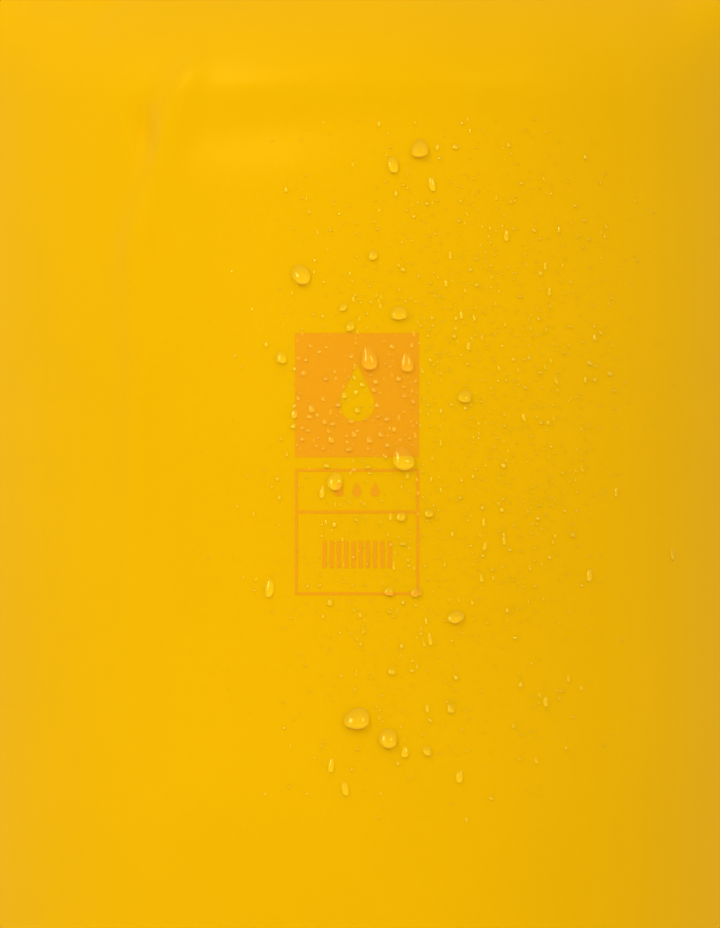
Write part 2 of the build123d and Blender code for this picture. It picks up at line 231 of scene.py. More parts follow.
def plated_steel(name):
    """Nickel-plated wire, faintly scratched."""
    paint = Paint(name, Metallic=1.0)
    scratch = paint.noise(700.0, 6.0, 0.7)
    paint.colour(scratch, (0.50, 0.49, 0.47), (0.72, 0.71, 0.69))
    paint.roughness(scratch, 0.16, 0.38)
    paint.bump(scratch, 0.08, 0.04 * MM)
    return paint.material


def print_ink(name, colour):
    """A screen print: thin satin ink that takes on the coat's grain and covers unevenly."""
    paint = Paint(name, Roughness=0.42, Specular_IOR_Level=0.25, Specular_Tint=(1.0, 0.75, 0.2, 1))
    light = tuple(0.85 * c + 0.15 * y for c, y in zip(colour, YELLOW))
    paint.colour(paint.noise(420.0, 5.0), colour, light)
    paint.bump(paint.noise(1900.0), 0.2, 0.05 * MM)
    return paint.material


def water(name, ior, roughness):
    """Clear water whose colour darkens at the lower rim: painted shade where the drop's face turns down.

    Lamp light is gathered where a drop's face leans towards it and dimmed beyond the drop.
    An index above plain water's 1.33 lets the lamps' reflections read on drops this small.
    """
    tint = (1.0, 0.90, 0.27, 1)
    paint = Paint(name, Roughness=roughness, IOR=ior, Transmission_Weight=1.0, Specular_Tint=tint)
    geometry = paint.node("NewGeometry")
    parts = paint.node("SeparateXYZ")
    paint.link(geometry.outputs["Normal"], parts.inputs["Vector"])
    # painted shade: the colour turns dark orange where the drop's face turns downwards, a dark lower rim
    under = paint.ramp(parts.outputs["Z"], 0.0, 1.0, -0.25, -0.75)
    paint.colour(under, (0.95, 1.0, 0.80), (0.32, 0.17, 0.03))
    facing = paint.node("VectorMath", operation="DOT_PRODUCT")
    facing.inputs[1].default_value = (0, 0.9, 0.44)  # in towards the bag and up
    paint.link(geometry.outputs["Normal"], facing.inputs[0])
    gather = paint.math("POWER", paint.math("MAXIMUM", facing.outputs["Value"], 0.0), 2.0)
    lit = paint.mix(gather, (0.84, 0.77, 0.45), (1.50, 1.60, 1.30))
    clear = paint.node("BsdfTransparent")
    paint.link(paint.mix(geometry.outputs["Backfacing"], (0.42, 0.37, 0.22), lit), clear.inputs["Color"])
    path = paint.node("LightPath")
    unseen = paint.math("MAXIMUM", path.outputs["Is Shadow Ray"], path.outputs["Is Diffuse Ray"])
    both = paint.node("MixShader")
    for source, slot in zip((unseen, paint.shader.outputs[0], clear.outputs[0]), both.inputs):
        paint.link(source, slot)
    paint.link(both.outputs[0], paint.tree.nodes["Material Output"].inputs["Surface"])
    return paint.material


def polymer_strip(name):
    paint = Paint(name, Roughness=0.45)
    paint.colour(paint.noise(150.0), (0.55, 0.55, 0.52), (0.75, 0.75, 0.72))
    return paint.material


def studio_floor(name):
    paint = Paint(name, Roughness=0.75)
    paint.colour(paint.noise(6.0, 2.0), (0.94, 0.94, 0.93), (0.97, 0.97, 0.96))
    return paint.material


SKIN = coated_fabric("coated_yellow")
ROLLED = coated_fabric("coated_yellow_rolled", 0.985, 0.40)
WELDED = coated_fabric("coated_yellow_welded", 0.97, 0.33, 0.25)
WEBBING = webbing_fabric("black_webbing", BLACK_WEBBING)
THREAD = thread_fibre("black_thread", BLACK_THREAD)
PLASTIC = moulded_plastic("black_acetal", BLACK_PLASTIC)
STEEL = plated_steel("plated_steel")
INK = print_ink("orange_ink", ORANGE)
WATER = water("water", 1.55, 0.06)
MIST_WATER = water("water_mist", 1.7, 0.07)
STRIP = polymer_strip("stiffener_polymer")


# ---- Mesh helpers ----

def add_object(name, data):
    made = bpy.data.objects.new(name, data)
    bpy.context.scene.collection.objects.link(made)
    return made


def read_all(items, key, size):
    """That property of all the items, as rows of size numbers."""
    values = np.zeros(len(items) * size)
    items.foreach_get(key, values)
    return values.reshape(-1, size)


def loop_corners(mesh):
    """The vertex that each face corner of the mesh stands on."""
    corners = np.zeros(len(mesh.loops), int)
    mesh.loops.foreach_get("vertex_index", corners)
    return corners


def mesh_object(name, points, faces, material, uvs=None):
    """A smooth mesh object; uvs is one (along, across) pair in metres for each point."""
    mesh = bpy.data.meshes.new(name)
    mesh.from_pydata([tuple(p) for p in points], [], faces)
    mesh.materials.append(material)
    mesh.polygons.foreach_set("use_smooth", [True] * len(mesh.polygons))
    if uvs is not None:
        layer = mesh.uv_layers.new(name="cloth")
        layer.data.foreach_set("uv", np.asarray(uvs, float)[loop_corners(mesh)].ravel())
    return add_object(name, mesh)


def grid_faces(rows, columns, closed=False, start=0):
    """Quads over a grid of points stored row by row; closed joins the last column to the first."""
    faces = []
    last = columns if closed else columns - 1
    for r in range(rows - 1):
        for c in range(last):
            d = (c + 1) % columns
            here, above = start + r * columns, start + (r + 1) * columns
            faces.append((here + c, here + d, above + d, above + c))
    return faces


def apply_modifiers(made):
    """Bakes the object's modifiers into its mesh."""
    depsgraph = bpy.context.evaluated_depsgraph_get()
    mesh = bpy.data.meshes.new_from_object(made.evaluated_get(depsgraph))
    made.modifiers.clear()
    made.data = mesh
    return made


def thicken(made, thickness):
    """Gives a sheet a real thickness, inwards from its outer side, with crisp edges."""
    solid = made.modifiers.new("thickness", "SOLIDIFY")
    solid.thickness = thickness
    solid.offset = -1
    apply_modifiers(made)
    made.data.set_sharp_from_angle(angle=radians(40))
    return made


def clean_faces(made, towards=None):
    """Drops loose points and turns the faces outwards, or an open sheet's the way of towards."""
    work = bmesh.new()
    work.from_mesh(made.data)
    loose = [v for v in work.verts if not v.link_faces]
    bmesh.ops.delete(work, geom=loose, context="VERTS")
    bmesh.ops.recalc_face_normals(work, faces=work.faces)
    if towards and sum(f.normal.dot(towards) for f in work.faces) < 0:
        bmesh.ops.reverse_faces(work, faces=work.faces)
    work.to_mesh(made.data)
    work.free()


def arc_length(line):
    """Distance along a line of 2-D points, at each point."""
    return np.concatenate([[0], np.cumsum(np.hypot(*np.diff(line, axis=0).T))])


def along_line(line, run, want):
    """Points of a 2-D line at the wanted distances; run is its arc_length."""
    return np.stack([np.interp(want, run, line[:, k]) for k in (0, 1)], axis=1)


def tangents(line):
    along = np.gradient(line, axis=0)
    return along / np.linalg.norm(along, axis=1)[:, None]


def smoothstep(t):
    t = min(1.0, max(0.0, t))
    return t * t * (3 - 2 * t)


def waver(x, y, z):
    """Smooth noise between about -1 and 1."""
    return smooth_noise(Vector((x, y, z)))


def finish_piece(piece, body, slot, *nodes):
    """The piece rides on the body and stands for the CAD nodes, which are hidden; slot is not used."""
    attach(piece, body)
    if nodes:
        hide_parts(*nodes)


# ---- The fabric tube, its shoulder and the fold lines, as one sheet ----

AROUND = 200
ROW_STEP = 3.2 * MM
SHOULDER_LENGTH = 124 * MM  # cloth from the tube's top to the roll
MOUTH_HALF_GAP = 1.0 * MM
MOUTH_DROP = ROLL_HALF_HEIGHT - 1.0 * MM  # the sheets meet the roll just inside its underside
BEND_START = 63 * MM  # the roll is straight this far out, then folds up
BEND_RADIUS = FOLD_X - BEND_START


def ellipse_half_width(half_depth):
    """Half width of the flattened tube, whose way round stays the same."""
    low, high = RADIUS * 0.99, RADIUS * 1.6
    for _ in range(40):
        a = (low + high) / 2
        root = sqrt((3 * a + half_depth) * (a + 3 * half_depth))
        if pi * (3 * (a + half_depth) - root) > CIRCUMFERENCE:
            high = a
        else:
            low = a
    return a


def even_ellipse(a, b, count):
    """count points evenly spaced round an ellipse, from +X through +Y."""
    turn = np.linspace(0, 2 * pi, 4001)
    line = np.stack([a * np.cos(turn), b * np.sin(turn)], axis=1)
    run = arc_length(line)
    return along_line(line, run, np.arange(count) / count * run[-1])


def spine_point(s, drop, bend=1.0):
    """(x, z) at arc length s along the roll's middle line, drop below it, folded up by bend."""
    side, out = copysign(1.0, s), abs(s)
    if out <= BEND_START:
        return s, ROLL_Z - drop
    radius = (BEND_RADIUS + drop) / bend
    arc = (BEND_RADIUS + drop) * pi / 2
    turn = min(out - BEND_START, arc) / radius
    rest = max(0.0, out - BEND_START - arc)
    x = BEND_START + radius * sin(turn) + rest * cos(turn)
    return side * x, ROLL_Z - drop + radius * (1 - cos(turn)) + rest * sin(turn)


def shoulder_row(t):
    """One row of the shoulder: t is 0 at the tube and 1 at the roll."""
    depth = MOUTH_HALF_GAP + (RADIUS - MOUTH_HALF_GAP) * (1 - t ** 1.45)
    bend = max(1 - (1 - t) ** 1.7, 1e-4)
    below = (ROLL_Z - MOUTH_DROP - SHOULDER_Z) * (1 - t ** 0.92)
    points = []
    for s, y in even_ellipse(ellipse_half_width(depth), depth, AROUND):
        x, z = spine_point(s, MOUTH_DROP, bend)
        points.append((x, y, z - below))
    return points


def body_rows():
    """(rest rows, closed rows): the same cloth as an open tube and as the closed bag."""
    angles = np.arange(AROUND) / AROUND * 2 * pi
    circle = [(RADIUS * cos(a), RADIUS * sin(a)) for a in angles]
    tube_rows = round((SHOULDER_Z - TUBE_LOW.z) / ROW_STEP)
    neck_rows = round(SHOULDER_LENGTH / ROW_STEP)
    heights = [TUBE_LOW.z + (SHOULDER_Z - TUBE_LOW.z) * r / tube_rows for r in range(tube_rows)]
    heights += [SHOULDER_Z + SHOULDER_LENGTH * (r / neck_rows) for r in range(neck_rows + 1)]
    rest = [[(x, y, z) for x, y in circle] for z in heights]
    closed = rest[:tube_rows] + [shoulder_row(r / neck_rows) for r in range(neck_rows + 1)]
    return np.array(rest), np.array(closed)


CLOTH_FRAMES = 34
CLOTH_SETTINGS = {
    "quality": 7, "mass": 0.25, "air_damping": 3, "use_pressure": True, "uniform_pressure_force": 2.0,
    "tension_stiffness": 60, "compression_stiffness": 60, "shear_stiffness": 20, "bending_stiffness": 0.1,
    "tension_damping": 12, "compression_damping": 12, "shear_damping": 12,
}
PIN_BELOW = 205 * MM
PINNED_ROWS = 3


def inflate(rest, closed):
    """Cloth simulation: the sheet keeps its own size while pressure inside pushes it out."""
    rows, columns = rest.shape[:2]
    first = max(0, int(np.searchsorted(rest[:, 0, 2], PIN_BELOW)) - PINNED_ROWS)
    low, shape = rest[first:].reshape(-1, 3), closed[first:].reshape(-1, 3)
    sheet = mesh_object("cloth_sheet", shape, grid_faces(rows - first, columns, True), SKIN)
    sheet.shape_key_add(name="Basis")
    flat = sheet.shape_key_add(name="flat")
    flat.data.foreach_set("co", low.ravel())
    pins = sheet.vertex_groups.new(name="pins")
    held = [i for i, p in enumerate(low) if p[2] < PIN_BELOW or i >= len(low) - columns]
    pins.add(held, 1.0, "REPLACE")
    cloth = sheet.modifiers.new("cloth", "CLOTH")
    settings = cloth.settings
    settings.rest_shape_key = flat
    settings.vertex_group_mass = "pins"
    for key, value in CLOTH_SETTINGS.items():
        setattr(settings, key, value)
    settings.effector_weights.gravity = 0
    cloth.point_cache.frame_start = 1
    cloth.point_cache.frame_end = CLOTH_FRAMES
    scene = bpy.context.scene
    for number in range(1, CLOTH_FRAMES + 1):
        scene.frame_set(number)
    depsgraph = bpy.context.evaluated_depsgraph_get()
    moved = read_all(sheet.evaluated_get(depsgraph).data.vertices, "co", 3)
    mesh = sheet.data
    bpy.data.objects.remove(sheet)
    bpy.data.meshes.remove(mesh)
    scene.frame_set(1)
    result = closed.copy()
    result[first:] = moved.reshape(rows - first, columns, 3)
    return result


def soft_dents(rest, shaped):
    """Slow dents of the filled tube, stronger near the shoulder and none at the base."""
    out = shaped.copy()
    for r, c in np.argwhere(rest[:, :, 2] <= SHOULDER_Z):
        x, y, z = rest[r, c]
        rise = (z - TUBE_LOW.z) / (SHOULDER_Z - TUBE_LOW.z)
        size = (0.15 + 0.45 * rise ** 2) * MM * smoothstep(rise * 8) * smoothstep((1 - rise) * 12)
        out[r, c] += np.array([x, y, 0]) / RADIUS * waver(x * 16, y * 16, z * 7 + 3.1) * size
    return out


REST_ROWS, CLOSED_ROWS = body_rows()
CLOSED_ROWS = inflate(REST_ROWS, CLOSED_ROWS)
CLOSED_ROWS = soft_dents(REST_ROWS, CLOSED_ROWS)

MOUTH_H = SHOULDER_Z + SHOULDER_LENGTH  # height along the cloth at the roll
CORNER_S = 84 * MM  # along the mouth from its middle to where the roll folds up
BAND_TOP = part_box("base_band")[1].z

# Soft folds down the front from the closure, in mm and radians: way round from the middle, height along
# the cloth, length, lean, width and depth, which is negative for a ridge
FRONT_FOLDS = (
    (-36, 276, 60, -0.335, 5.0, -1.2),
    (-46, 243, 100, -0.03, 5.0, -0.8),
    (-44.5, 268, 11, 0.0, 3.2, 1.4),
    (-18, 268, 60, 1.57, 8.0, 1.5),
)
MOUTH_FOLDS, CORNER_FOLDS, SHOULDER_FOLDS, BASE_FOLDS = 13, 7, 9, 26


def fold_lines(seed):
    """Creases as (way round, height, run, rise, width, depth) in metres, from the closure and the base."""
    chance = random.Random(seed)
    between = chance.uniform
    back, front = CIRCUMFERENCE / 4, CIRCUMFERENCE * 3 / 4
    folds = []

    def fold(around, height, length, lean, width, depth):
        run, rise = length * sin(lean), -length * cos(lean)
        folds.append((around % CIRCUMFERENCE, height, run, rise, width * MM, depth * MM))

    for s, height, length, lean, width, depth in FRONT_FOLDS:
        fold(front + s * MM, height * MM, length * MM, lean, width, depth)
    for middle in (back, front):
        for _ in range(MOUTH_FOLDS):
            s = between(-0.9, 0.9) * CORNER_S
            length = between(16, 44) * MM
            depth = chance.choice((1, 1, -0.7)) * between(0.35, 0.95)
            fold(middle + s, MOUTH_H, length, between(-0.35, 0.35), between(2.6, 4.6), depth)
        for corner in (-1, 1):
            for i in range(CORNER_FOLDS):
                lean = corner * (-0.75 + 0.24 * i + between(-0.08, 0.08))
                length = between(38, 84) * MM
                depth = chance.choice((1, -0.8)) * between(0.8, 1.9)
                start = middle + corner * (CORNER_S + between(-7, 7) * MM)
                fold(start, MOUTH_H - 4 * MM, length, lean, between(3.6, 7.0), depth)
        for _ in range(SHOULDER_FOLDS):
            s = chance.choice((-1, 1)) * between(0.25, 1.0) * CIRCUMFERENCE / 4
            height = SHOULDER_Z + between(4, 60) * MM
            lean = between(-1.4, 1.4)
            fold(middle + s, height, between(18, 46) * MM, lean, between(4, 8), between(-0.9, 0.9))
    for _ in range(BASE_FOLDS):
        around = between(0, CIRCUMFERENCE)
        length = -between(10, 30) * MM
        fold(around, BAND_TOP, length, between(-0.5, 0.5), between(3, 6), between(-0.45, 0.45))
    return folds


def crease(skin):
    """Presses the fold lines into the smoothed cloth, as furrows and ridges with a low lip on both sides."""
    mesh = skin.data
    place = read_all(mesh.vertices, "co", 3)
    normal = read_all(mesh.vertices, "normal", 3)
    cloth = np.zeros((len(place), 2))
    cloth[loop_corners(mesh)] = read_all(mesh.uv_layers[0].data, "uv", 2)
    around, height = cloth[:, 0] % CIRCUMFERENCE, cloth[:, 1]
    push = np.zeros(len(place))
    for middle, start, run, rise, width, depth in fold_lines(11):
        x = (around - middle + CIRCUMFERENCE / 2) % CIRCUMFERENCE - CIRCUMFERENCE / 2
        y = height - start
        length = hypot(run, rise)
        t = (x * run + y * rise) / length
        bend = 0.08 * width * np.sin(t / length * 5)
        d = ((x * rise - y * run) / length + bend) / width
        fade = np.clip(1 - t / length, 0, 1) * np.clip(1 + t / (3 * width), 0, 1)
        push -= depth * (1 - 0.9 * d * d) * np.exp(-d * d) * fade * fade * (3 - 2 * fade)
    above = np.clip((height - SHOULDER_Z) / (30 * MM), 0, 1)
    for i in np.nonzero(above)[0]:
        x, y, z = place[i]
        push[i] += 0.9 * MM * above[i] * waver(x * 32, y * 32, z * 38)
    push *= np.clip((MOUTH_H + 2 * MM - height) / (6 * MM), 0, 1)
    mesh.vertices.foreach_set("co", (place + normal * push[:, None]).ravel())
    mesh.update()
    return skin


def whole_skin():
    """The whole cloth, smoothed once, before it is cut into the tube and the halves of the shoulder."""
    rows, columns = CLOSED_ROWS.shape[:2]
    uvs = [(c / columns * CIRCUMFERENCE, REST_ROWS[r, 0, 2]) for r in range(rows) for c in range(columns)]
    skin = mesh_object("whole_skin", CLOSED_ROWS.reshape(-1, 3), grid_faces(rows, columns, True), SKIN, uvs)
    layer = skin.data.uv_layers[0]
    for polygon in skin.data.polygons:
        corners = [layer.data[i].uv for i in polygon.loop_indices]
        if max(uv.x for uv in corners) - min(uv.x for uv in corners) > RADIUS:
            for uv in corners:
                if uv.x < RADIUS:
                    uv.x += CIRCUMFERENCE
    finer = skin.modifiers.new("finer", "SUBSURF")
    finer.levels = 1
    return crease(apply_modifiers(skin))


def cut_out(source, name, keep):
    """A copy of source with only the faces that keep accepts, and with source's own smooth normals."""
    normals = [v.normal.copy() for v in source.data.vertices]
    made = add_object(name, source.data.copy())
    work = bmesh.new()
    work.from_mesh(made.data)
    tag = work.verts.layers.int.new("source")
    for v in work.verts:
        v[tag] = v.index
    drop = [f for f in work.faces if not keep(f.calc_center_median())]
    bmesh.ops.delete(work, geom=drop, context="FACES")
    order = [v[tag] for v in work.verts]
    work.verts.layers.int.remove(tag)
    work.to_mesh(made.data)
    work.free()
    made.data.normals_split_custom_set_from_vertices([normals[i] for i in order])
    return made


WHOLE = whole_skin()
SKIN_TREE = BVHTree.FromObject(WHOLE, bpy.context.evaluated_depsgraph_get())


def on_skin(angle, z, lift=0.0):
    """(point, normal) on the tube's outside, found from its axis; angle 0 is +X and a quarter turn is +Y."""
    out = Vector((cos(angle), sin(angle), 0))
    hit, normal, _, _ = SKIN_TREE.ray_cast(Vector((0, 0, z)), out)
    if hit is None:
        hit, normal = out * RADIUS + Vector((0, 0, z)), out
    if normal.dot(out) < 0:
        normal = -normal
    return hit + normal * lift, normal


CUT_Z = SHOULDER_Z - 12 * MM


def blend_side(piece, side, slot, *nodes):
    """Bakes the piece's place into its mesh and hides the CAD nodes it stands for; side is not used."""
    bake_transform(piece)
    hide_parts(*nodes)


def make_body():
    tube = cut_out(WHOLE, "tube_skin", lambda p: p.z < CUT_Z)
    finish_piece(tube, "bag", "coated_fabric", "body_tube")
    for side, sign in SIDES.items():
        half = cut_out(WHOLE, f"shoulder_skin_{side}", lambda p: p.z >= CUT_Z and p.x * sign >= 0)
        blend_side(half, side, "coated_fabric", "shoulder")


# ---- Welded layers: base, band, back seam and side patches ----

WELD = 1.0 * MM
RIM_STEPS = (0.0, 0.15, 0.4, 0.8, 1.3, 2.2, 2.6, 3.0, 3.6, 4.2, 4.6, 5.0)  # mm in from a welded edge
RIM = [step * MM for step in RIM_STEPS]
PRESS_FROM, PRESS_TO = 2.2 * MM, 5.0 * MM  # the pressed channel along a welded edge
PRESS_DEPTH = 0.3 * MM
PATCH_STEP = 2.4 * MM


def welded_height(edge):
    """Height of a welded layer above the skin, edge metres in from its edge."""
    height = WELD * smoothstep((edge + 0.1 * MM) / (0.9 * MM))
    height -= 0.15 * MM * smoothstep(1 - edge / (0.3 * MM))
    along = (edge - PRESS_FROM) / (PRESS_TO - PRESS_FROM)
    if 0 < along < 1:
        height -= PRESS_DEPTH * smoothstep(4 * min(along, 1 - along))
    return height


def stations(length):
    """Distances along a welded layer from 0 to length, finer near both ends."""
    middle = length - 2 * RIM[-1]
    count = max(2, round(middle / PATCH_STEP))
    inner = [RIM[-1] + middle * i / count for i in range(1, count)]
    return RIM + inner + [length - step for step in reversed(RIM)]


def welded_patch(name, angle, width, low, high, corner, node):
    """A round-cornered layer welded to the skin, centred on angle, from height low to high."""
    points, uvs = [], []
    across, heights = stations(width), stations(high - low)
    for up in heights:
        end = min(up, high - low - up)
        inset = corner - sqrt(corner ** 2 - (corner - end) ** 2) if end < corner else 0.0
        for side in across:
            u = (side - width / 2) * (1 - 2 * inset / width)
            edge = min(end, width / 2 - inset - abs(u))
            points.append(on_skin(angle + u / RADIUS, low + up, welded_height(edge))[0])
            uvs.append((u, up))
    patch = mesh_object(name, points, grid_faces(len(heights), len(across)), WELDED, uvs)
    finish_piece(patch, "bag", "coated_fabric", node)


SEAM_LOW, SEAM_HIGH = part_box("back_seam")
SEAM_CORNER, PATCH_CORNER = 1.5 * MM, 9 * MM
TOE = 3.5 * MM  # the band's rounding under the base
UNDER = 12 * MM  # how far the band runs in under the base
BAND_AROUND = 240
BAND_ANGLES = [c / BAND_AROUND * 2 * pi for c in range(BAND_AROUND)]
PANEL_RINGS = 24
PANEL_THICK = 0.8 * MM


def ring(radius, z):
    """Points round the bag's axis, one at each of the band's angles."""
    return [(radius * cos(a), radius * sin(a), z) for a in BAND_ANGLES]


def make_band():
    """The band welded round the foot, turned in under the base."""
    heights = [BAND_TOP - step for step in RIM]
    plain = heights[-1] - TOE
    heights += [heights[-1] - plain * i / 8 for i in range(1, 9)]
    rows = []
    for z in heights:
        lift = welded_height(BAND_TOP - z)
        skin = [on_skin(a, max(z, TUBE_LOW.z), lift)[0] for a in BAND_ANGLES]
        rows.append((z, [(point.x, point.y, z) for point in skin]))
    outer = RADIUS + WELD
    for turn in [i / 6 * pi / 2 for i in range(1, 7)]:
        rows.append((-turn * TOE, ring(outer - TOE * (1 - cos(turn)), TOE * (1 - sin(turn)))))
    for i in range(1, 5):
        rows.append((-UNDER * i / 4, ring(outer - TOE - UNDER * i / 4, 0.3 * MM * (i == 4))))
    points = [point for _, row in rows for point in row]
    uvs = [(a * RADIUS, v) for v, _ in rows for a in BAND_ANGLES]
    band = mesh_object("base_band_skin", points, grid_faces(len(rows), BAND_AROUND, True), WELDED, uvs)
    finish_piece(band, "bag", "coated_fabric", "base_band")


def make_panel():
    """The base panel, slightly crowned and wrinkled."""
    points = []
    reach = RADIUS - 2 * MM
    for i in range(1, PANEL_RINGS + 1):
        r = reach * i / PANEL_RINGS
        crown = 1.1 * MM * (1 - (r / reach) ** 2) + 0.45 * MM
        points += [(x, y, z + 0.25 * MM * waver(x * 25, y * 25, 8.0)) for x, y, z in ring(r, crown)]
    faces = grid_faces(PANEL_RINGS, BAND_AROUND, True)
    faces.append(tuple(reversed(range(BAND_AROUND))))
    panel = mesh_object("base_panel_skin", points, faces, SKIN, [point[:2] for point in points])
    finish_piece(thicken(panel, PANEL_THICK), "bag", "coated_fabric", "base_panel")


def make_welded_layers():
    seam_width = SEAM_HIGH.x - SEAM_LOW.x
    welded_patch("back_seam_skin", pi / 2, seam_width, SEAM_LOW.z, SEAM_HIGH.z, SEAM_CORNER, "back_seam")
    for side, sign in SIDES.items():
        node = f"side_patch_{side}"
        low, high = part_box(node)
        angle = 0 if sign > 0 else pi
        name = f"side_patch_skin_{side}"
        welded_patch(name, angle, high.y - low.y, low.z, high.z, PATCH_CORNER, node)


# ---- The rolled mouth ----

ROLL_TURNS = 2.6
LAYER = 0.7 * MM  # one layer of cloth in the roll; two lie together
LAYER_GAP = 0.06 * MM
PITCH_Y, PITCH_Z = 1.5 * MM, 3.2 * MM  # spacing of the turns at the sides, and above and below
ROLL_STEP = 2.0 * MM
ROLL_REACH = BEND_START + BEND_RADIUS * pi / 2 + END_TOP - ROLL_Z - BEND_RADIUS
TURN_POINTS = 30
FIRST_POINT = 4
TIP_SQUASH = 0.70
NECK_TAIL = 5.0 * MM  # the cloth's straight run up to the roll


def roll_section():
    """(y, h) points of the rolled cloth, from the neck, round the back and in to the middle."""
    a0, b0 = ROLL_HALF_DEPTH - LAYER, ROLL_HALF_HEIGHT - LAYER
    points = [(0.0, -b0 - NECK_TAIL), (0.0, -b0 - NECK_TAIL / 2), (0.4 * MM, -b0 - 0.6 * MM)]
    for i in range(FIRST_POINT, round(ROLL_TURNS * TURN_POINTS) + 1):
        turn = i / TURN_POINTS
        sine, cosine = sin(turn * 2 * pi), cos(turn * 2 * pi)
        y = (a0 - PITCH_Y * turn) * copysign(abs(sine) ** 0.75, sine)
        h = -(b0 - PITCH_Z * turn) * copysign(abs(cosine) ** 0.75, cosine)
        points.append((y, h))
    return points


def layer_outline(middle, offset, thickness):
    """The closed outline of one layer that runs offset beside the middle line."""
    line = np.array(middle)
    along = tangents(line)
    normal = np.stack([along[:, 1], -along[:, 0]], axis=1)
    outer = line + normal * (offset + thickness / 2)
    inner = line + normal * (offset - thickness / 2)
    return np.concatenate([outer, inner[::-1]])


def roll_point(s, y, h):
    """The point (y, h) of the roll's section, carried to arc length s and made uneven as cloth is."""
    side, out = copysign(1.0, s), abs(s)
    x, z = spine_point(s, 0.0)
    turn = min(max((out - BEND_START) / BEND_RADIUS, 0.0), pi / 2)
    end = smoothstep((out - BEND_START) / (ROLL_REACH - BEND_START))
    bend = exp(-((out - BEND_START - BEND_RADIUS * 0.8) / (15 * MM)) ** 2)
    upper = max(0.0, h / ROLL_HALF_HEIGHT)
    gathers = sin(out / (1.5 * MM) + y / (4.5 * MM) + 2.0 * waver(s * 60, y * 90, 4.0))
    ridge = 1 - abs(waver(s * 34, y * 24, h * 20 + 7.0)) * 3.2
    height = h * (1 - (1 - TIP_SQUASH) * end)
    height += 1.15 * MM * bend * upper * gathers
    height += 0.9 * MM * waver(s * 26, y * 38, h * 42) * (1 - 0.5 * end)
    height += 0.7 * MM * max(0.0, ridge) * waver(s * 12, y * 15, 2.0) * h / ROLL_HALF_HEIGHT
    push = 0.8 * MM * waver(s * 24 + 5, y * 20, h * 34)
    return x - side * sin(turn) * height, y + push, z + cos(turn) * height


def make_roll():
    """The rolled mouth: two layers of cloth, wound together and swept along the folded middle line."""
    section = roll_section()
    last = 2 * round(ROLL_REACH / ROLL_STEP)
    points, faces, uvs = [], [], []
    for layer in (0.5, -0.5):
        outline = layer_outline(section, layer * (LAYER + LAYER_GAP), LAYER)
        start, count = len(points), len(outline)
        for i in range(last + 1):
            s = ROLL_REACH * (2 * i / last - 1)
            points += [roll_point(s, y, h) for y, h in outline]
            uvs += [(s, k * 1.6 * MM) for k in range(count)]
        faces += grid_faces(last + 1, count, True, start)
        for tip in (start, start + last * count):
            for k in range(count // 2 - 1):
                faces.append((tip + k, tip + k + 1, tip + count - 2 - k, tip + count - 1 - k))
    roll = mesh_object("whole_roll", points, faces, ROLLED, uvs)
    clean_faces(roll)
    for side, sign in SIDES.items():
        half = cut_out(roll, f"roll_skin_{side}", lambda p: p.x * sign >= 0)
        blend_side(half, side, "rolled_fabric", "roll_middle", f"roll_{side}_end")
    bpy.data.objects.remove(roll)


# ---- Webbing ----

WEBBING_WIDTH = 25 * MM
PATH_STEP = 0.9 * MM
EDGE_ROUND = 5  # points round each selvedge
ACROSS = 14


def soften(corners, passes):
    """Evenly spaced points along straight runs, with the corners rounded by repeated averaging."""
    line = np.array(corners, float)
    run = arc_length(line)
    points = along_line(line, run, np.linspace(0, run[-1], max(4, round(run[-1] / PATH_STEP))))
    for _ in range(passes):
        points[1:-1] = (points[:-2] + 2 * points[1:-1] + points[2:]) / 4
    return points


def strip_outline(width, thickness):
    """(across, up) points round a strip's section, with rounded selvedges."""
    r = thickness / 2
    flat = width / 2 - r
    outline = [(-flat + 2 * flat * i / ACROSS, r) for i in range(ACROSS + 1)]
    outline += [(flat + r * sin(a), r * cos(a)) for a in np.linspace(0, pi, EDGE_ROUND + 2)[1:-1]]
    return outline + [(-u, -v) for u, v in outline]


def webbing_strip(name, path, thickness, body, node, crown=0.0):
    """A woven strip along a path of (x, z) points; crown bends it across, round a vertical axis."""
    outline = strip_outline(WEBBING_WIDTH, thickness)
    points, uvs = [], []
    for (x, z), (tx, tz), s in zip(path, tangents(path), arc_length(path)):
        for u, v in outline:
            sag = crown * (RADIUS - sqrt(RADIUS ** 2 - u ** 2)) * copysign(1, x)
            points.append((x - tz * v - sag, u, z + tx * v))
            uvs.append((s, u))
    rows, count = len(path), len(outline)
    faces = [tuple(reversed(f)) for f in grid_faces(rows, count, True)]
    faces.append(tuple(range(count)))
    faces.append(tuple(reversed(range((rows - 1) * count, rows * count))))
    strip = mesh_object(name, points, faces, WEBBING, uvs)
    clean_faces(strip)
    finish_piece(strip, body, "webbing", node)


STITCH = 0.22 * MM  # thread radius
STITCH_RINGS, STITCH_AROUND = 5, 6
STITCH_LENGTH, STITCH_GAP = 2.3 * MM, 0.7 * MM
TACK_PITCH = 0.55 * MM
TACK_TALL = 2.6 * MM
TACK_HALF = 10.5 * MM


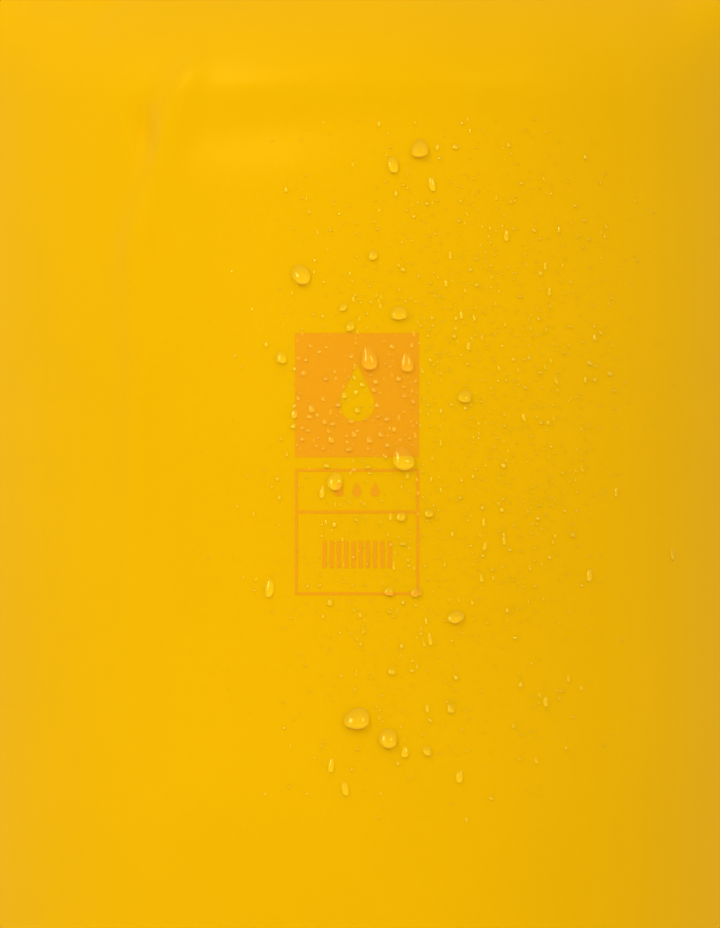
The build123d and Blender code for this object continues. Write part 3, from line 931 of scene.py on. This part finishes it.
class Stitches:
    """Collects short stitches, each a small bowed thread, into one piece.

    place(across, up) gives (point, normal) on the face that is sewn.
    """

    def __init__(self):
        self.points, self.faces = [], []

    def add(self, first, last, normal):
        along = (last - first).normalized()
        normal = normal.normalized()
        side = along.cross(normal)
        start = len(self.points)
        for i in range(STITCH_RINGS):
            t = i / (STITCH_RINGS - 1)
            bow = sin(pi * t)
            middle = first.lerp(last, t) + normal * (0.30 * MM * bow - 0.12 * MM)
            r = STITCH * (0.55 + 0.45 * bow)
            for a in [2 * pi * k / STITCH_AROUND for k in range(STITCH_AROUND)]:
                self.points.append(middle + (side * cos(a) + normal * sin(a)) * r)
        self.faces += grid_faces(STITCH_RINGS, STITCH_AROUND, True, start)
        end = start + (STITCH_RINGS - 1) * STITCH_AROUND
        self.faces.append(tuple(reversed(range(start, start + STITCH_AROUND))))
        self.faces.append(tuple(range(end, end + STITCH_AROUND)))

    def bartack(self, place, middle=0.0):
        """A dense zigzag across the webbing."""
        count = round(2 * TACK_HALF / TACK_PITCH)
        for i in range(count):
            across = [-TACK_HALF + 2 * TACK_HALF * (i + k) / count for k in (0, 1)]
            up = TACK_TALL / 2 if i % 2 else -TACK_TALL / 2
            first, normal = place(across[0], middle + up)
            last, _ = place(across[1], middle - up)
            self.add(first, last, normal)

    def row(self, place, across, low, high):
        """Running stitches along the webbing."""
        count = max(1, round((high - low) / (STITCH_LENGTH + STITCH_GAP)))
        for i in range(count):
            t0 = i / count
            t1 = t0 + STITCH_LENGTH / (STITCH_LENGTH + STITCH_GAP) / count
            first, normal = place(across, low + (high - low) * t0)
            last, _ = place(across, low + (high - low) * t1)
            self.add(first, last, normal)

    def finish(self, name, body):
        finish_piece(mesh_object(name, self.points, self.faces, THREAD), body, "webbing")


LASH_X = 102.1 * MM  # middle of the lash strip's thickness where it is sewn down
LASH_BRIDGE_X = 107.8 * MM
LASH_THICK = 1.5 * MM
LASH_LOW, LASH_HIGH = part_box("lash_strip_right")
BRIDGES = ((100 * MM, 140 * MM), (148 * MM, 188 * MM))
BRIDGE_RAMP = 7 * MM
RING_X = 107 * MM
RING_Z = {"lower": 70 * MM, "upper": 222 * MM}
KEEPER_THICK = 1.4 * MM
KEEPER_INNER_X = 103.75 * MM
KEEPER_OUTER_X = KEEPER_INNER_X + KEEPER_THICK + 0.05 * MM
KEEPER_LENGTH = 24 * MM
KEEPER_TACKS = (11 * MM, 19 * MM)
LOOP_RADIUS = 2.9 * MM  # the keeper's middle line round the ring's bar


def lash_path(sign):
    corners = [(LASH_X, LASH_LOW.z)]
    for low, high in BRIDGES:
        corners += [(LASH_X, low), (LASH_BRIDGE_X, low + BRIDGE_RAMP)]
        corners += [(LASH_BRIDGE_X, high - BRIDGE_RAMP), (LASH_X, high)]
    corners.append((LASH_X, LASH_HIGH.z))
    return soften(corners, 12) * np.array([sign, 1])


def keeper_path(sign, z):
    corners = [(KEEPER_INNER_X, z + KEEPER_LENGTH), (KEEPER_INNER_X, z + 6 * MM)]
    for a in np.linspace(pi, 2 * pi, 13):
        corners.append((RING_X + LOOP_RADIUS * cos(a), z + LOOP_RADIUS * sin(a)))
    corners += [(KEEPER_OUTER_X, z + 9 * MM), (KEEPER_OUTER_X, z + KEEPER_LENGTH - 2 * MM)]
    return soften(corners, 3) * np.array([sign, 1])


def face_on(x, sign):
    """place() for Stitches: the outside of webbing sewn to the side of the bag."""
    def place(across, z):
        sag = RADIUS - sqrt(RADIUS ** 2 - across ** 2)
        return Vector((sign * (x - sag), across, z)), Vector((sign, across / RADIUS, 0))
    return place


def make_side_webbing():
    for side, sign in SIDES.items():
        webbing_strip(f"lash_webbing_{side}", lash_path(sign), LASH_THICK, "bag", f"lash_strip_{side}", 1.0)
        stitches = Stitches()
        tacks = [LASH_LOW.z + 4 * MM, LASH_HIGH.z - 4 * MM]
        for low, high in BRIDGES:
            tacks += [low - 3 * MM, high + 3 * MM]
        for z in tacks:
            stitches.bartack(face_on(LASH_X + LASH_THICK / 2, sign), z)
        for level, z in RING_Z.items():
            name, node = f"ring_loop_{side}_{level}", f"ring_keeper_{side}_{level}"
            webbing_strip(name, keeper_path(sign, z), KEEPER_THICK, "bag", node, 1.0)
            for up in KEEPER_TACKS:
                stitches.bartack(face_on(KEEPER_OUTER_X + KEEPER_THICK / 2, sign), z + up)
        stitches.finish(f"side_stitching_{side}", "bag")


LOOP_Z = 455 * MM  # the buckle's mid-plane
TAB_CORNER_Z = 451 * MM
TAB_LOW = 418 * MM
TAB_LAYER = 1.15 * MM
TAB_PASSES = 90
BAR_X = 31 * MM
BAR_LOOP = 2.55 * MM  # the webbing's middle line round the buckle's bar
TAB_TACKS = (BAR_X + 8 * MM, BAR_X + 24 * MM)
TAB_ROW = (BAR_X + 10 * MM, BAR_X + 22 * MM)


def tab_path():
    """Out of the right end of the roll, over to the buckle's bar, round it and back, as two layers."""
    gap = TAB_LAYER / 2 + 0.03 * MM
    outward = [(FOLD_X + gap, TAB_LOW), (FOLD_X + gap, TAB_CORNER_Z + gap), (BAR_X + 6 * MM, LOOP_Z + gap)]
    back = [(BAR_X + 6 * MM, LOOP_Z - gap), (FOLD_X - gap, TAB_CORNER_Z - gap), (FOLD_X - gap, TAB_LOW)]
    turn = np.linspace(pi / 2, 3 * pi / 2, 11)
    around = [(BAR_X + BAR_LOOP * cos(a), LOOP_Z + BAR_LOOP * sin(a)) for a in turn]
    return soften(np.concatenate([soften(outward, TAB_PASSES), around, soften(back, TAB_PASSES)]), 3)


def make_tabs():
    path = tab_path()
    outer = path[: len(path) // 2]
    xs, zs = outer[np.argsort(outer[:, 0])].T
    for side, sign in SIDES.items():
        body, node = f"{side}_end", f"webbing_tab_{side}"
        webbing_strip(f"tab_webbing_{side}", path * np.array([sign, 1]), TAB_LAYER, body, node)

        def place(across, x):
            z = float(np.interp(x, xs, zs)) + TAB_LAYER / 2
            return Vector((sign * x, across, z)), Vector((0, 0, 1))

        stitches = Stitches()
        for x in TAB_TACKS:
            stitches.bartack(place, x)
        for y in (-TACK_HALF, TACK_HALF):
            stitches.row(place, y, *TAB_ROW)
        stitches.finish(f"tab_stitching_{side}", body)


# ---- The print ----

FILM_LIFT = 0.07 * MM
FILM_THICK = 0.12 * MM
OUTLINE = 0.5 * MM
GLYPH_RADIUS = 3.5 * MM
DROP_TIP = 2.3  # how far a drop glyph's tip stands above its middle, in radii
SQUARE_Z = (SQUARE_LOW.z + SQUARE_HIGH.z) / 2
DIVIDER_Z = 190.6 * MM
ICON_LOW, ICON_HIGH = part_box("print_icons")
SCALE_LOW, SCALE_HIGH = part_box("print_scale")
SCALE_BARS = 10
SCALE_BAR = 0.75 * MM


def rectangle(x0, z0, x1, z1):
    return [(x0, z0), (x1, z0), (x1, z1), (x0, z1)]


def drop_loop(x, z, radius):
    """A plain water drop: a circle with a straight-sided tip above it."""
    corner = asin(1 / DROP_TIP)
    turn = np.linspace(corner, -pi - corner, 40)
    round_part = [(x + radius * cos(a), z + radius * sin(a)) for a in turn]
    return round_part + [(x, z + DROP_TIP * radius)]


def sides(loop):
    """The closed loop's sides, as (first point, last point)."""
    return zip(loop, loop[1:] + loop[:1])


def inside(loop, x, z):
    """True where x, z lies inside the closed loop."""
    odd = False
    for (x0, z0), (x1, z1) in sides(loop):
        if (z0 > z) != (z1 > z) and x < x0 + (x1 - x0) * (z - z0) / (z1 - z0):
            odd = not odd
    return odd


def print_film(name, outlines, holes, step, node):
    """A thin film of ink on the skin, with the outlines' shape less the holes."""
    def inked(x, z, loops=outlines):
        return any(inside(o, x, z) for o in loops) and not any(inside(h, x, z) for h in holes)

    flat, edges = [], []  # (x, z) points, and pairs of them
    for loop in outlines + holes:
        first = len(flat)
        for (x0, z0), (x1, z1) in sides(loop):
            count = max(1, ceil(hypot(x1 - x0, z1 - z0) / step))
            flat += [(x0 + (x1 - x0) * i / count, z0 + (z1 - z0) * i / count) for i in range(count)]
        edges += [(i, i + 1) for i in range(first, len(flat) - 1)] + [(len(flat) - 1, first)]
    for outline in outlines:
        xs, zs = zip(*outline)
        for x in np.arange(min(xs) + step / 2, max(xs), step):
            for z in np.arange(min(zs) + step / 2, max(zs), step):
                if inked(x, z, [outline]):
                    flat.append((float(x), float(z)))
    scaled = [Vector((x / MM, z / MM)) for x, z in flat]
    corners, _, triangles, *_ = delaunay_2d_cdt(scaled, edges, [], 0, 1e-5)
    kept = []
    for face in triangles:
        x = sum(corners[i].x for i in face) / 3 * MM
        z = sum(corners[i].y for i in face) / 3 * MM
        if inked(x, z):
            kept.append(tuple(face))
    points = [on_skin(-acos(c.x * MM / RADIUS), c.y * MM, FILM_LIFT)[0] for c in corners]
    film = mesh_object(name, points, kept, INK)
    clean_faces(film, Vector((0, -1, 0)))
    finish_piece(thicken(film, FILM_THICK), "bag", "print_ink", node)


def make_print():
    half = PRINT_WIDTH / 2
    square = rectangle(-half, SQUARE_LOW.z, half, SQUARE_HIGH.z)
    glyph = drop_loop(0.0, SQUARE_Z - GLYPH_RADIUS / 2, GLYPH_RADIUS)
    print_film("ink_square", [square], [glyph], 1.2 * MM, "print_square")
    inner = half - OUTLINE
    cells = [
        rectangle(-inner, BOX_LOW.z + OUTLINE, inner, DIVIDER_Z - OUTLINE / 2),
        rectangle(-inner, DIVIDER_Z + OUTLINE / 2, inner, BOX_HIGH.z - OUTLINE),
    ]
    print_film("ink_frame", [rectangle(-half, BOX_LOW.z, half, BOX_HIGH.z)], cells, 0.9 * MM, "print_frame")
    icon = (ICON_HIGH.z - ICON_LOW.z) / (1 + DROP_TIP)
    spacing = (ICON_HIGH.x - ICON_LOW.x - 2 * icon) / 2
    icons = [drop_loop(i * spacing, ICON_LOW.z + icon, icon) for i in (-1, 0, 1)]
    print_film("ink_icons", icons, [], 0.5 * MM, "print_icons")
    pitch = (SCALE_HIGH.x - SCALE_LOW.x - SCALE_BAR) / (SCALE_BARS - 1)
    starts = [SCALE_LOW.x + i * pitch for i in range(SCALE_BARS)]
    bars = [rectangle(x, SCALE_LOW.z, x + SCALE_BAR, SCALE_HIGH.z) for x in starts]
    print_film("ink_scale", bars, [], 0.9 * MM, "print_scale")


# ---- Water drops on the front ----

# The larger drops, placed beside the print: (x, z, width, height) in mm
BIG_DROPS = (
    (12.6, 263.4, 3.8, 3.9), (7.2, 260.2, 2.4, 3.4), (-11.2, 238.2, 4.0, 4.1), (3.2, 242.0, 2.0, 2.1),
    (8.4, 230.4, 3.6, 2.9), (-1.4, 227.8, 2.0, 2.1), (-2.8, 231.6, 1.7, 1.8), (-15.2, 221.6, 2.4, 2.6),
    (2.4, 221.4, 3.5, 4.8), (10.0, 220.6, 2.6, 4.3), (21.6, 213.8, 2.8, 2.9), (9.2, 201.4, 4.7, 5.0),
    (-4.4, 196.8, 3.1, 4.0), (8.8, 189.8, 2.1, 2.2), (14.4, 190.4, 1.9, 2.0), (19.8, 169.6, 3.5, 2.8),
    (0.0, 149.4, 5.0, 4.9), (6.2, 145.4, 4.0, 4.0), (14.0, 142.8, 2.0, 2.0), (9.6, 142.6, 1.6, 2.5),
    (7.0, 158.8, 1.6, 1.7), (-17.6, 175.4, 1.8, 3.8), (6.4, 174.8, 2.1, 2.2), (11.8, 174.6, 2.3, 2.2),
    (20.6, 137.6, 1.5, 2.8), (-5.2, 140.0, 1.4, 2.8), (-2.4, 135.4, 1.6, 2.9), (18.8, 151.2, 1.7, 1.8),
)
SEED = 7
PRINT_DROPS = 105
MIST = 1700
MIST_TRIES = 90000
SPREAD_X, SPREAD_Z = (-32.0, 66.0), (128.0, 270.0)
PRINT_SHAPES = (0.85, 1.0, 1.15, 1.3)  # height to width
MIST_SHAPES = (0.9, 1.0, 1.05, 1.2, 1.2, 1.5, 2.4)
DOME, MIST_DOME = 0.38, 0.40  # how tall a drop stands, to its width
LARGEST_COARSE, LARGEST_MIST = 0.7, 1.4
FINE, MIDDLE, COARSE = (8, 28), (5, 14), (3, 8)  # (rings, points round) of a drop's mesh
SPACING = 0.56  # least distance between two drops' middles, in their sizes added up
SAG = 0.20  # how far a drop's thickest place hangs below its middle, in drop heights


class Drops:
    """Collects domed drops that sit on the skin into one mesh; their sizes are in mm."""

    def __init__(self, seed):
        self.points, self.faces = [], []
        self.random = random.Random(seed)
        self.placed = []

    def is_free(self, x, z, size):
        """True where a drop of that size would touch no other."""
        return all(hypot(x - px, z - pz) > SPACING * (size + other) for px, pz, other in self.placed)

    def add(self, x, z, width, height, tall, rings, around):
        """A drop at x, z: heavier at its foot, with a slightly uneven edge."""
        chance = [self.random.uniform(-1, 1) for _ in range(3)]
        self.placed.append((x, z, max(width, height)))
        lean = (0.10 + 0.10 * max(0.0, height / width - 1.5)) * chance[2]
        foot, normal = on_skin(-acos(x * MM / RADIUS), z * MM)
        right = Vector((0, 0, 1)).cross(normal).normalized()
        up = normal.cross(right).normalized()
        embed = 0.06 + 0.012 * max(width, height)
        start = len(self.points)
        for i in range(rings):
            lift = i / rings * pi / 2
            high = sin(lift)
            for a in [2 * pi * k / around for k in range(around)]:
                upper = max(0.0, sin(a))
                uneven = 1 + 0.07 * sin(2 * a + 3 * chance[0]) + 0.04 * sin(3 * a + 5 * chance[1])
                out = cos(lift) ** (0.80 + 0.60 * upper) * uneven / 2
                u, v = cos(a) * width * out, sin(a) * height * out
                narrow = 1 - 0.20 * v / height * min(1.0, height / width - 0.4)
                n = tall * high ** (1 + 0.6 * upper) - embed * (i == 0)
                offset = right * (u * narrow + lean * v) + up * (v - SAG * height * high) + normal * n
                self.points.append(foot + offset * MM)
        self.points.append(foot + (up * (-SAG * height) + normal * tall) * MM)
        self.faces += grid_faces(rings, around, True, start)
        top, last = start + rings * around, start + (rings - 1) * around
        self.faces += [(last + k, last + (k + 1) % around, top) for k in range(around)]
        self.faces.append(tuple(reversed(range(start, start + around))))

    def finish(self, name, material):
        """Makes one piece of the drops added so far, and starts another."""
        piece = mesh_object(name, self.points, self.faces, material)
        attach(piece, "bag")
        self.points, self.faces = [], []


def wetness(x, z):
    """How densely the mist lies at x, z in mm: a slanting patch right of the print."""
    along = ((x - 26) * 0.35 + (z - 214)) / 46
    across = ((x - 26) - (z - 214) * 0.10) / 21
    patch = exp(-along * along - across * across)
    over_print = 0.45 * exp(-((x - 4) / 19) ** 2 - ((z - 212) / 40) ** 2)
    below = 0.16 * exp(-((x - 8) / 24) ** 2 - ((z - 156) / 24) ** 2)
    streak = 0.5 + 0.5 * waver(x * 0.09, z * 0.09, 2.0)
    return (patch + over_print + below) * (0.35 + streak)


def make_drops():
    drops = Drops(SEED)
    for x, z, width, height in BIG_DROPS:
        drops.add(x, z, width, height, DOME * min(width, height), *FINE)
    drops.finish("water_drops", WATER)
    chance = drops.random
    for _ in range(PRINT_DROPS):
        x = chance.uniform(-13.0, 12.0)
        z = chance.triangular(199.0, 228.0, 208.0)
        size = chance.uniform(0.6, 1.25) + 0.45 * chance.random() ** 3
        if drops.is_free(x, z, size):
            drops.add(x, z, size, size * chance.choice(PRINT_SHAPES), DOME * size, *MIDDLE)
    made = 0
    for _ in range(MIST_TRIES):
        if made == MIST:
            break
        x, z = chance.uniform(*SPREAD_X), chance.uniform(*SPREAD_Z)
        size = 0.32 + 0.17 * chance.expovariate(1.0)
        if chance.random() > wetness(x, z) or size > LARGEST_MIST or not drops.is_free(x, z, size):
            continue
        mesh = COARSE if size < LARGEST_COARSE else MIDDLE
        drops.add(x, z, size, size * chance.choice(MIST_SHAPES), MIST_DOME * size, *mesh)
        made += 1
    drops.finish("water_mist", MIST_WATER)


# ---- Floor, light and camera ----

WORLD_COLOUR = (1.0, 0.99, 0.97, 1)
WORLD_STRENGTH = 0.60
FLOOR_HALF = 40.0
# The softboxes, as name: (place, (width, height), power, colour)
LAMPS = {
    "key": ((-0.55, -0.85, 0.85), (0.32, 0.66), 4.5, (1, 1, 1)),
    "second": ((0.55, -0.85, 0.85), (0.24, 0.24), 1.42, (1.0, 0.88, 0.66)),
    "back": ((0.5, 1.5, 1.1), (1.1, 1.1), 10, (1, 1, 1)),
}
VIEW_SCALE = 0.2 * MM  # one picture element at the print
VIEW_HEIGHT = VIEW_SCALE * 928
LENS = 180.0
SENSOR = 36.0
VIEW_X = 0.6 * MM


def make_floor():
    corners = [(x, y, 0) for x, y in rectangle(-FLOOR_HALF, -FLOOR_HALF, FLOOR_HALF, FLOOR_HALF)]
    mesh_object("studio_floor", corners, [(0, 1, 2, 3)], studio_floor("floor_pale"))


def make_studio():
    """Softboxes that face the print, and a pale world."""
    scene = bpy.context.scene
    scene.view_settings.view_transform = "Standard"
    world = bpy.data.worlds.new("studio")
    world.use_nodes = True
    background = world.node_tree.nodes["Background"]
    background.inputs["Color"].default_value = WORLD_COLOUR
    background.inputs["Strength"].default_value = WORLD_STRENGTH
    scene.world = world
    for name, (place, (width, height), power, colour) in LAMPS.items():
        data = bpy.data.lights.new(name, "AREA")
        data.shape = "RECTANGLE"
        data.size, data.size_y = width, height
        data.energy = power
        data.color = colour
        lamp = add_object(name, data)
        lamp.location = place
        lamp.rotation_euler = (VIEW_MIDDLE - Vector(place)).to_track_quat("-Z", "Y").to_euler()


def make_camera():
    data = bpy.data.cameras.new("camera")
    data.lens = LENS
    data.sensor_width = SENSOR
    data.clip_start = 0.01
    data.clip_end = 50
    camera = add_object("camera", data)
    camera.location = (VIEW_X, -RADIUS - VIEW_HEIGHT * LENS / SENSOR, VIEW_Z)
    camera.rotation_euler = (pi / 2, 0, 0)
    bpy.context.scene.camera = camera


CAD_LOOKS = {
    PLASTIC: ("buckle_socket", "buckle_plug", "prong_front", "prong_rear"),
    STEEL: tuple(f"d_ring_{side}_{level}" for side in SIDES for level in RING_Z),
    STRIP: ("strip_middle", "strip_left", "strip_right"),
}


def dress_cad_nodes():
    """Better materials for the CAD nodes that stay in view."""
    for material, names in CAD_LOOKS.items():
        for name in names:
            materials = frame["nodes"][name].data.materials
            materials.clear()
            materials.append(material)


make_camera()
make_studio()
make_floor()
make_body()
make_band()
make_panel()
make_welded_layers()
make_roll()
make_side_webbing()
make_tabs()
make_print()
make_drops()
bpy.data.objects.remove(WHOLE)
dress_cad_nodes()
